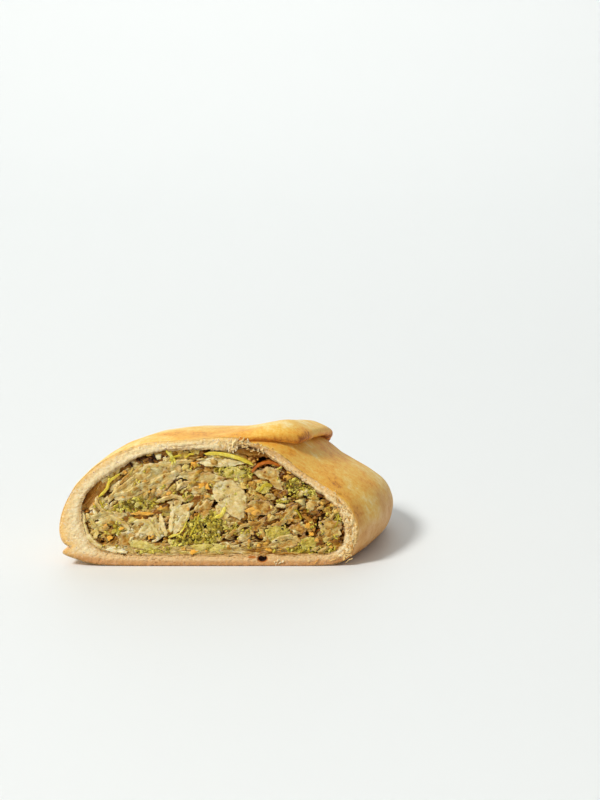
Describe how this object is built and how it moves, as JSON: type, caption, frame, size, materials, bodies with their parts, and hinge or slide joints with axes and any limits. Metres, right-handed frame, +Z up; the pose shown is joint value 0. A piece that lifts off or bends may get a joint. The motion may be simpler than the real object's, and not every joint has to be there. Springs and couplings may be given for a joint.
{
  "type": "cut half of a baked vegetable pasty",
  "caption": "Half of a wrapped, baked pasty lying flat, cut across on a slant: golden pastry shell with a raised flap on top, filled with chopped cooked vegetables.",
  "frame": {"origin": "middle of the box round the part, on the surface it rests on", "axes": "+Z up, -Y out of the cut face, +Y towards the closed end, +X towards the side that the flap laps"},
  "size_m": [0.1102, 0.0844, 0.0445],
  "materials": {
    "baked_pastry": "matte, softly shining where it is browned",
    "pastry_crumb": "matte, porous and flaky",
    "cooked_vegetables": "moist satin",
    "pale_cabbage": "moist satin, slightly see-through",
    "green_broccoli": "matte, grainy",
    "orange_carrot": "moist satin"
  },
  "bodies": {
    "root": {"crust": "baked_pastry", "filling": "cooked_vegetables"}
  },
  "joints": []
}
